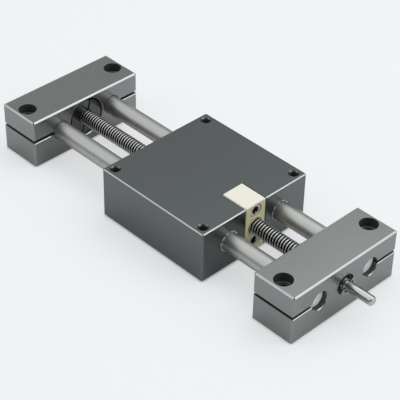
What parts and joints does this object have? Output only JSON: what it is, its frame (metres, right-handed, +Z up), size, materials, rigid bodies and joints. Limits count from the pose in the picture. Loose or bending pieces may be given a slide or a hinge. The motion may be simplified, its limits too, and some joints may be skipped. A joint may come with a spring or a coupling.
{
  "type": "linear positioning table",
  "caption": "Lead-screw linear table: a flat carriage slides on round guide shafts between clamped end blocks, moved by a trapezoidal screw with a drive journal.",
  "frame": {"origin": "midway between the end blocks, on the plane that they are bolted to", "axes": "+X along the guide shafts towards the drive journal, +Y across them, +Z up through the carriage top"},
  "size_m": [0.269, 0.085, 0.0345],
  "materials": {
    "anodised_block": "grey anodised, satin",
    "anodised_carriage": "dark grey anodised, satin",
    "hard_anodised_shaft": "grey hard anodised, matt",
    "bright_steel": "bright turned",
    "blackened_steel": "black oxide, polished",
    "nut_plastic": "cream dry-running plastic",
    "liner_plastic": "pale dry-running plastic",
    "bush_plastic": "dark dry-running plastic"
  },
  "bodies": {
    "frame": {"end_block_drive": "anodised_block", "end_block_idle": "anodised_block", "guide_shaft_left": "hard_anodised_shaft", "guide_shaft_right": "hard_anodised_shaft", "screw_bush_drive": "bush_plastic", "screw_bush_idle": "bush_plastic", "thrust_washers": "bush_plastic"},
    "screw": {"lead_screw": "bright_steel", "journal_washer": "blackened_steel", "retaining_clip": "bright_steel", "collar_left_drive": "blackened_steel", "collar_right_drive": "blackened_steel", "collar_left_idle": "blackened_steel", "collar_right_idle": "blackened_steel"},
    "carriage": {"carriage_block": "anodised_carriage", "lead_screw_nut": "nut_plastic", "nut_screw_upper": "bright_steel", "nut_screw_lower": "bright_steel", "shaft_liner_left": "liner_plastic", "shaft_liner_right": "liner_plastic"}
  },
  "joints": [
    {"name": "screw_turn", "type": "hinge", "parent": "frame", "child": "screw", "pos_m": [0, 0, 0.0185], "axis": [1, 0, 0], "range_deg": [-6770, 11234]},
    {"name": "carriage_slide", "type": "slide", "parent": "frame", "child": "carriage", "axis": [1, 0, 0], "range_m": [-0.0624, 0.0376]}
  ],
  "couplings": [
    {"joint": "screw_turn", "follows": "carriage_slide", "rad_per_m": -3141.6}
  ]
}
